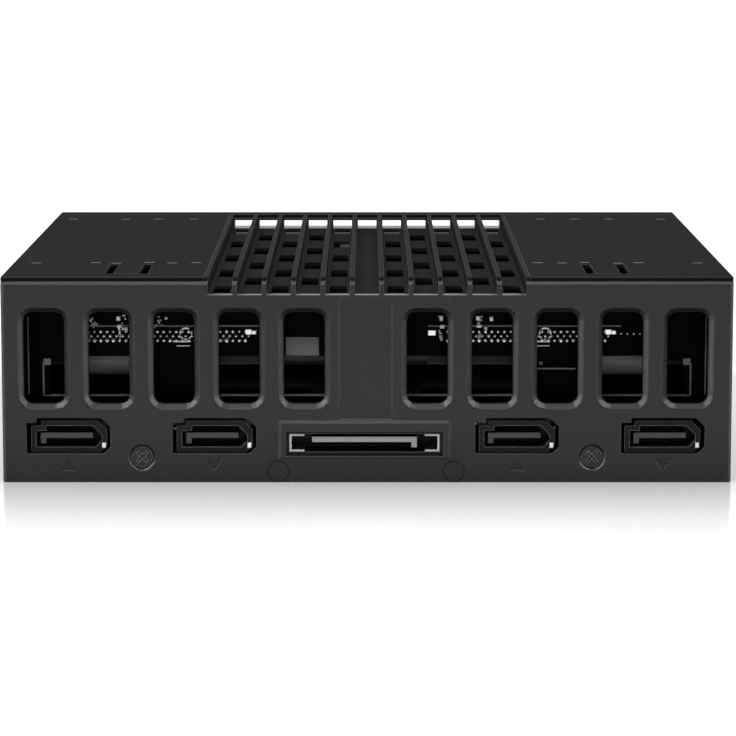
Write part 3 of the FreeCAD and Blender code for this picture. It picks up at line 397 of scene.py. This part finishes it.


# the connectors' pale edge colour is a painted highlight along the shell edges
CONNECTOR_BLACK = {
    "color": (0.0045, 0.0045, 0.0053), "patch_color": (0.006, 0.006, 0.0067),
    "edge_highlight_color": (0.525, 0.525, 0.555), "roughness": (0.3, 0.4), "specular": 0.2,
    "grain_depth": 0.1, "edge_radius": 0.00016}
FINISHES = {
    "black_steel": hard_finish("black_coated_steel", (0.0088, 0.0084, 0.0097), (0.0104, 0.0098, 0.0112),
                               (0.105, 0.105, 0.111), (0.7, 0.85), specular=0.02, grain_size=4000.0),
    "tray_steel": hard_finish("tray_coated_steel", (0.033, 0.033, 0.036), (0.042, 0.042, 0.045),
                              (0.105, 0.105, 0.1125), (0.45, 0.6), specular=0.2, grain_size=3500.0),
    "black_plastic": hard_finish("moulded_black", (0.0080, 0.0088, 0.0118), (0.0100, 0.0108, 0.0138),
                                 (0.024, 0.025, 0.030), (0.25, 0.32), specular=0.42,
                                 grain_size=2500.0, grain_depth=0.15, edge_radius=0.00055),
    "channel_plastic": hard_finish("matt_black", (0.018, 0.018, 0.020), (0.021, 0.021, 0.023),
                                   (0.075, 0.075, 0.0825), (0.7, 0.85), specular=0.02),
    "lever_plastic": hard_finish("satin_black", (0.021, 0.0225, 0.0255), (0.027, 0.0285, 0.0315),
                                 (0.060, 0.063, 0.069), (0.3, 0.42), grain_size=3000.0),
    "rail_plastic": hard_finish("smooth_black", (0.012, 0.012, 0.0135), (0.015, 0.015, 0.0165),
                                (0.030, 0.030, 0.0315), (0.35, 0.45), specular=0.2, grain_depth=0.1),
    "socket_plastic": hard_finish("connector_black", **CONNECTOR_BLACK),
    "data_plastic": hard_finish("connector_black_data", **CONNECTOR_BLACK,
                                region_color=(0.090, 0.090, 0.0975),
                                region_box=((-0.073, -0.0640, 0.0072), (0.073, -0.0637, 0.0099))),
    "power_plastic": hard_finish("connector_black_power", **CONNECTOR_BLACK,
                                 region_color=(0.450, 0.450, 0.480),
                                 region_box=((-0.0112, -0.0663, 0.0069), (0.0102, -0.0649, 0.0093))),
    # white edge colour: painted highlight on the cross recess and rim of each screw head
    "black_screw": hard_finish("black_zinc", (0.0045, 0.0045, 0.006), (0.0075, 0.0075, 0.009),
                               (1.0, 1.0, 1.0), (0.3, 0.45), specular=0.5, grain_depth=0.15,
                               edge_radius=0.00016),
    "nickel": hard_finish("nickel_plate", (0.540, 0.540, 0.555), (0.450, 0.450, 0.465),
                          (0.750, 0.750, 0.750), (0.3, 0.4), metallic=1.0, grain_depth=0.1),
    "solder": hard_finish("bright_solder", (0.900, 0.900, 0.900), (0.675, 0.675, 0.675),
                          (1.0, 1.0, 1.0), (0.2, 0.3), metallic=1.0, grain_depth=0.1),
    "bare_metal": hard_finish("rubbed_metal", (0.180, 0.180, 0.1875), (0.135, 0.135, 0.1425),
                              (0.300, 0.300, 0.300), (0.4, 0.5), specular=0.5, grain_depth=0.1),
    # nearly black: the board's black mask, darkened further as painted shade of the hollow behind the vents
    "board": hard_finish("solder_mask_painted_shade", (0.0006, 0.0009, 0.0008), (0.0009, 0.0014, 0.0012),
                         (0.0045, 0.0045, 0.0045), (0.3, 0.4), specular=0.02, grain_depth=0.1),
    "clear_plastic": hard_finish("light_pipe", (0.930, 0.990, 1.0), (0.825, 0.900, 0.945),
                                 (1.0, 1.0, 1.0), (0.12, 0.2), specular=0.7, grain_depth=0.05),
}
print(len(FINISHES), "finishes")

# %% [markdown]
# ## Helpers for the small parts
# Everything small that repeats is grown by Geometry Nodes. A **row** tree sets soldered pins
# along a line. A **block** tree sets a small block on each of a list of places, in the size
# that the place asks for. Each tree ends in real geometry with its finish on it, and the result
# is kept as one plain mesh, so that nothing has to be worked out again later.


# %% Helpers for the small parts
def new_tree(name, inputs):
    tree = bpy.data.node_groups.new(name, "GeometryNodeTree")
    tree.interface.new_socket(name="Geometry", in_out="INPUT", socket_type="NodeSocketGeometry")
    for label, kind, value in inputs:
        tree.interface.new_socket(name=label, in_out="INPUT", socket_type=kind).default_value = value
    tree.interface.new_socket(name="Geometry", in_out="OUTPUT", socket_type="NodeSocketGeometry")
    return tree, tree.nodes.new("NodeGroupInput"), tree.nodes.new("NodeGroupOutput")


def keep(name, mesh):
    """Make a mesh a piece of the cage."""
    piece = bpy.data.objects.new(name, mesh)
    bpy.context.collection.objects.link(piece)
    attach(piece, "cage")
    print(name, len(mesh.polygons), "faces")


def grow(name, tree, finish, runs, points=(), sizes=()):
    """Run a tree once for each set of inputs and keep it all as one plain mesh on the cage."""
    seeds = bpy.data.meshes.new(name)
    seeds.from_pydata(list(points), [], [])
    if sizes:
        seeds.attributes.new("size", "FLOAT_VECTOR", "POINT").data.foreach_set("vector", sum(sizes, ()))
    carrier = bpy.data.objects.new(name, seeds)
    bpy.context.collection.objects.link(carrier)
    sockets = {item.name: item.identifier for item in tree.interface.items_tree if item.in_out == "INPUT"}
    for values in runs:
        modifier = carrier.modifiers.new("grow", "NODES")
        modifier.node_group = tree
        modifier[sockets["Finish"]] = FINISHES[finish]
        for label, value in values.items():
            modifier[sockets[label]] = value
    grown = carrier.evaluated_get(bpy.context.evaluated_depsgraph_get())
    mesh = bpy.data.meshes.new_from_object(grown)
    bpy.data.objects.remove(carrier)
    mesh.name = name
    keep(name, mesh)


INTEGER, MATERIAL = "NodeSocketInt", "NodeSocketMaterial"

# %% [markdown]
# ## The row tree
# A row of soldered pins is a line of points with a small blunt cone on each. The solder is never
# quite even, so every cone has a slightly different size, drawn from a fixed seed.

# %% The row tree
PINS = 26
rows, start, end = new_tree("soldered_row", [
    ("Count", INTEGER, PINS), ("Pitch", FLOAT, 1.27 * MM), ("Across", FLOAT, 0.0), ("Along", FLOAT, 0.0),
    ("Up", FLOAT, 0.0), ("Radius", FLOAT, 0.58 * MM), ("Height", FLOAT, 0.8 * MM), ("Seed", INTEGER, 0),
    ("Finish", MATERIAL, None)])
first = rows.nodes.new("ShaderNodeCombineXYZ")
step = rows.nodes.new("ShaderNodeCombineXYZ")
line = rows.nodes.new("GeometryNodeMeshLine")
joint = add_node(rows, "GeometryNodeMeshCone", fill_type="TRIANGLE_FAN")
joint.inputs["Vertices"].default_value = 10
tip = add_node(rows, "ShaderNodeMath", operation="MULTIPLY")
tip.inputs[1].default_value = 0.45
spread = add_node(rows, "FunctionNodeRandomValue", data_type="FLOAT")
spread.inputs[2].default_value = 0.8
spread.inputs[3].default_value = 1.15
place_all = rows.nodes.new("GeometryNodeInstanceOnPoints")
place_all.inputs["Rotation"].default_value = (math.pi / 2, 0.0, 0.0)
real = rows.nodes.new("GeometryNodeRealizeInstances")
coat = rows.nodes.new("GeometryNodeSetMaterial")
merged = rows.nodes.new("GeometryNodeJoinGeometry")
link_all(rows, [
    (start.outputs["Across"], first.inputs["X"]),
    (start.outputs["Along"], first.inputs["Y"]),
    (start.outputs["Up"], first.inputs["Z"]),
    (start.outputs["Pitch"], step.inputs["X"]),
    (start.outputs["Count"], line.inputs["Count"]),
    (first.outputs[0], line.inputs["Start Location"]),
    (step.outputs[0], line.inputs["Offset"]),
    (start.outputs["Radius"], joint.inputs["Radius Bottom"]),
    (start.outputs["Radius"], tip.inputs[0]),
    (tip.outputs[0], joint.inputs["Radius Top"]),
    (start.outputs["Height"], joint.inputs["Depth"]),
    (start.outputs["Seed"], spread.inputs["Seed"]),
    (line.outputs["Mesh"], place_all.inputs["Points"]),
    (joint.outputs["Mesh"], place_all.inputs["Instance"]),
    (spread.outputs[1], place_all.inputs["Scale"]),
    (place_all.outputs["Instances"], real.inputs["Geometry"]),
    (real.outputs["Geometry"], coat.inputs["Geometry"]),
    (start.outputs["Finish"], coat.inputs["Material"]),
    (start.outputs["Geometry"], merged.inputs["Geometry"]),
    (coat.outputs["Geometry"], merged.inputs["Geometry"]),
    (merged.outputs["Geometry"], end.inputs["Geometry"])])
print("row tree with", len(rows.nodes), "nodes")

# %% [markdown]
# ## The block tree
# Chips, pegs, strips and contacts are all small blocks. The tree reads the size of each from the
# point it stands on, so one list of places and sizes is enough.

# %% The block tree
blocks, start, end = new_tree("placed_blocks", [("Finish", MATERIAL, None)])
asked = add_node(blocks, "GeometryNodeInputNamedAttribute", data_type="FLOAT_VECTOR")
asked.inputs["Name"].default_value = "size"
block = blocks.nodes.new("GeometryNodeMeshCube")
place_all = blocks.nodes.new("GeometryNodeInstanceOnPoints")
real = blocks.nodes.new("GeometryNodeRealizeInstances")
coat = blocks.nodes.new("GeometryNodeSetMaterial")
link_all(blocks, [
    (start.outputs["Geometry"], place_all.inputs["Points"]),
    (block.outputs["Mesh"], place_all.inputs["Instance"]),
    (asked.outputs["Attribute"], place_all.inputs["Scale"]),
    (place_all.outputs["Instances"], real.inputs["Geometry"]),
    (real.outputs["Geometry"], coat.inputs["Geometry"]),
    (start.outputs["Finish"], coat.inputs["Material"]),
    (coat.outputs["Geometry"], end.inputs["Geometry"])])
print("block tree with", len(blocks.nodes), "nodes")


def set_blocks(name, finish, wanted):
    """Small blocks, each given as its middle and its size in millimetres."""
    points = [tuple(c * MM for c in middle) for middle, _ in wanted]
    sizes = [tuple(c * MM for c in size) for _, size in wanted]
    grow(name, blocks, finish, [{}], points, sizes)


# %% [markdown]
# ## The back of the circuit board
# Behind the air vents the board shows the soldered pins of the drive connectors: three rows for
# each, the middle one set half a pitch over, and a short row of smaller joints beside them.
# Places are measured from each connector's own middle.

# %% The back of the circuit board
board_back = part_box("backplane_board")[0][1]
connectors = {}
for index in range(1, 5):
    low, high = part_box(f"drive_connector_{index}")
    connectors[index] = ((low[0] + high[0]) / 2, (low[2] + high[2]) / 2)
    print("connector", index, [round(c / MM, 2) for c in connectors[index]])

# height above the connector's middle, shift and radius of each row
PIN_ROWS = ((1.65, 0.0, 0.58), (2.6, 0.63, 0.45), (3.5, 0.0, 0.5))
ROW_START = -17.0
SIDE_ROW = {"pins": 4, "start": 18.0, "rise": 3.1, "radius": 0.4}
runs = []
for index, (across, up) in connectors.items():
    for row, (rise, shift, radius) in enumerate(PIN_ROWS):
        runs.append({"Count": PINS, "Across": across + (shift + ROW_START) * MM, "Along": board_back,
                     "Up": up + rise * MM, "Radius": radius * MM, "Seed": 10 * index + row})
    runs.append({"Count": SIDE_ROW["pins"], "Across": across + SIDE_ROW["start"] * MM, "Along": board_back,
                 "Up": up + SIDE_ROW["rise"] * MM, "Radius": SIDE_ROW["radius"] * MM, "Seed": index})
grow("solder_joints", rows, "solder", runs)

# %% [markdown]
# ## Chips, pegs and strips
# Bright locking pegs hold each connector, a few plain chips and clusters of tiny ones sit
# beside its pins, and a tinned strip runs above them. Pale strips along the lower edges of the
# board's windows are painted highlights where the cut edges catch light from above. A
# fixed seed scatters the tiny chips the same way every time.

# %% Chips, pegs and strips
# x and z from the connector's middle, then width and height
CHIPS = [(-18.3, 6.2, 0.7, 1.0), (-18.1, 4.5, 0.9, 0.7), (-10.9, 6.2, 0.8, 0.9), (-8.2, 6.1, 0.7, 0.9),
         (-10.7, 4.6, 1.0, 0.6), (-9.3, 4.0, 0.5, 0.9), (1.9, 1.5, 3.6, 0.35), (2.2, 0.6, 2.8, 0.2)]
PEGS = [(-20.2, 3.3, 1.6, 1.1), (15.4, 3.5, 1.2, 1.1), (16.5, 3.4, 0.9, 0.8)]
# clusters of tiny chips: x and z ranges, again from the connector's middle
CLUSTERS = [(-18.8, -17.8, 1.8, 6.8), (-16.9, -15.1, 4.2, 6.8), (-10.9, -9.2, 1.8, 6.8),
            (-3.8, -1.0, 4.2, 6.8)]
SPECKS = 8

dice = random.Random(7)
back = board_back / MM
chips, pegs, strips_and_highlights, rings = [], [], [], []
for across, up in connectors.values():
    x, z = across / MM, up / MM
    chips += [((x + dx, back - 0.25, z + dz), (wide, 0.5, tall)) for dx, dz, wide, tall in CHIPS]
    for left, right, low, high in CLUSTERS:
        chips += [((x + dice.uniform(left, right), back - 0.2, z + dice.uniform(low, high)),
                   (dice.uniform(0.25, 0.6), 0.4, dice.uniform(0.25, 0.6))) for _ in range(SPECKS)]
    pegs += [((x + dx, back - 0.4, z + dz), (wide, 0.8, tall)) for dx, dz, wide, tall in PEGS]
    strips_and_highlights.append(((x - 1.5, back - 0.05, z + 4.6), (39.0, 0.1, 0.35)))
    rings.append((x + 2.7, back - 0.05, z + 3.0))

# pale strips along the lower edges of the board's windows, painted highlights of the cut edges lit from
# above, and the guides beside the outermost ones
WINDOW_FOOT = 16.1
for side in (-1, 1):
    for near, far in ((4.0, 34.2), (44.0, 65.5)):
        strips_and_highlights.append(((side * (near + far) / 2, back + 0.7, WINDOW_FOOT + 0.1), (far - near, 1.7, 0.2)))
    strips_and_highlights += [((side * 65.5, back - 0.05, 19.6), (0.35, 0.1, 6.6)),
               ((side * 68.5, back - 0.05, 24.4), (0.25, 0.1, 16.0)),
               ((side * 64.7, back - 0.05, 23.1), (1.5, 0.1, 1.3))]
strips_and_highlights += [((38.0, back - 0.05, 21.7), (8.4, 0.1, 0.3)), ((35.2, back - 0.05, 22.8), (0.7, 0.1, 0.6))]
set_blocks("board_pegs", "solder", pegs)
set_blocks("board_chips", "nickel", chips)
set_blocks("tinned_strips_and_edge_highlights", "bare_metal", strips_and_highlights)

# %% [markdown]
# ## Earth springs
# Three bent sheets touch the board: one above its windows, beside the middle, and one behind
# each window next to the outermost. Each is a short strip that curves away towards its foot, so
# its top is lit and its foot is dark. A strip with a curve in one direction is easy to write
# point by point.


# %% Earth springs
def bent_strips(name, finish, wanted, steps=10, sheet=0.25):
    """Sheets that curve away from -Y towards their foot: left, right, top, foot, rear and front."""
    points, faces = [], []
    for left, right, top, foot, rear, front in wanted:
        base = len(points)
        for k in range(steps + 1):
            turn = math.pi / 2 * k / steps
            y = rear + (front - rear) * (1 - math.cos(turn))
            z = top + (foot - top) * math.sin(turn)
            points += [(x * MM, (y + deep) * MM, z * MM) for deep in (0.0, sheet) for x in (left, right)]
        for k in range(steps):
            a, b = base + 4 * k, base + 4 * k + 4
            faces += [(a, a + 1, b + 1, b), (a + 3, a + 2, b + 2, b + 3),
                      (a + 2, a, b, b + 2), (a + 1, a + 3, b + 3, b + 1)]
        last = base + 4 * steps
        faces += [(base, base + 2, base + 3, base + 1), (last, last + 1, last + 3, last + 2)]
    mesh = bpy.data.meshes.new(name)
    mesh.from_pydata(points, [], faces)
    shell = bmesh.new()
    shell.from_mesh(mesh)
    bmesh.ops.recalc_face_normals(shell, faces=shell.faces)
    shell.to_mesh(mesh)
    shell.free()
    mesh.materials.append(FINISHES[finish])
    keep(name, mesh)


bent_strips("earth_springs", "bare_metal", [
    (-56.3, -47.0, 24.2, 20.0, back + 1.0, back + 3.5), (47.0, 56.3, 24.2, 20.0, back + 1.0, back + 3.5),
    (-16.4, -9.7, 28.2, 24.4, back - 0.4, back - 0.3)])

# %% [markdown]
# ## Contacts
# The tongue of every socket carries flat contacts at a pitch of 1.27 mm, seven for data and
# fifteen for power. Each data socket also has a small bright patch at one lower corner, a painted
# reflection of light in the shell's corner facet. The drive connectors have their contacts along
# the lower lip of the mouth.

# %% Contacts
PITCH = 1.27
contacts = []
corner_glints = []
for index in range(1, 5):
    low, high = (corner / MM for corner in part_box(f"data_socket_{index}"))
    middle = (low + high) / 2
    contacts += [((middle[0] - 0.5 + k * PITCH, low[1] + 3.4, middle[2] + 0.5), (0.6, 5.2, 0.1))
                 for k in range(-3, 4)]
    # bright patch at the socket's lower corner: painted reflection of the shell's corner facet
    corner_glints.append(((middle[0] + 7.0, low[1] - 0.05, middle[2] - 1.8), (0.8, 0.1, 1.1)))
    low, high = (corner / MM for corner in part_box(f"drive_connector_{index}"))
    middle = (low + high) / 2
    contacts += [((middle[0] + k * PITCH, high[1] - 1.8, middle[2] - 1.2), (0.7, 3.2, 0.2))
                 for k in range(-12, 13) if k not in (-4, -3)]
low, high = (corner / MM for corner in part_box("power_socket"))
middle = (low + high) / 2
contacts += [((middle[0] + k * PITCH, low[1] + 3.4, middle[2] + 0.15), (0.6, 5.2, 0.1)) for k in range(-7, 8)]
set_blocks("contacts", "nickel", contacts)
set_blocks("socket_corner_reflections", "solder", corner_glints)

# %% [markdown]
# ## Marks in the sheet metal and in the mould
# Short bright patches on the lid are painted highlights of the small dimples that the press leaves
# where it lances the sheet over the trays and over the board. The ejector pins of the mould leave two faint
# rings at the foot of the cover.
# A plated ring lies round each connector's middle peg hole on the board.

# %% Marks
lid_top = cad_high[2] / MM
REAR_PLANE = -65.7
REAR_MARKS = [(68.3, 25.5), (56.1, 26.0), (51.8, 25.0), (45.0, 26.5), (40.3, 25.5), (35.3, 26.0)]
FRONT_MARKS = [(68.8, 114.5), (56.5, 114.5), (48.7, 114.5), (40.6, 114.5)]
# bright flat patches: painted highlights of the pressed dimples
dimple_highlights = [((side * across, REAR_PLANE + depth, lid_top), (2.0, 0.5, 0.06))
         for side in (-1, 1) for across, depth in REAR_MARKS + FRONT_MARKS]
set_blocks("pressed_dimple_highlights", "bare_metal", dimple_highlights)


def flat_rings(name, finish, centres, radius, width, steps=36):
    """Thin flat rings that face -Y, with their centres in millimetres."""
    points, faces = [], []
    for x, y, z in centres:
        base = len(points)
        for k in range(steps):
            turn = 2 * math.pi * k / steps
            for reach in (radius - width / 2, radius + width / 2):
                points.append(((x + reach * math.cos(turn)) * MM, y * MM, (z + reach * math.sin(turn)) * MM))
        for k in range(steps):
            a, b = base + 2 * k, base + 2 * ((k + 1) % steps)
            faces.append((a, a + 1, b + 1, b))
    mesh = bpy.data.meshes.new(name)
    mesh.from_pydata(points, [], faces)
    mesh.materials.append(FINISHES[finish])
    keep(name, mesh)


flat_rings("ejector_rings", "channel_plastic",
           [(-17.8, REAR_PLANE - 0.02, 2.2), (17.4, REAR_PLANE - 0.02, 2.2)], 2.1, 0.25)
flat_rings("peg_rings", "nickel", rings, 1.15, 0.3)

# %% [markdown]
# ## Dress the CAD pieces
# The record that comes with the frame says which finish each piece takes, so one loop dresses
# them all. The grille over the channel is cast in the same plastic as the rear cover, but comes
# out of a rougher mould.

# %% Dress the CAD pieces
OWN_FINISH = {"vent_channel": "channel_plastic", "power_socket": "power_plastic"}
OWN_FINISH |= {f"data_socket_{index}": "data_plastic" for index in range(1, 5)}

for part in frame["record"]["subparts"]:
    mesh = nodes[part["node"]].data
    mesh.materials.clear()
    mesh.materials.append(FINISHES[OWN_FINISH.get(part["node"], part["material_slot"])])
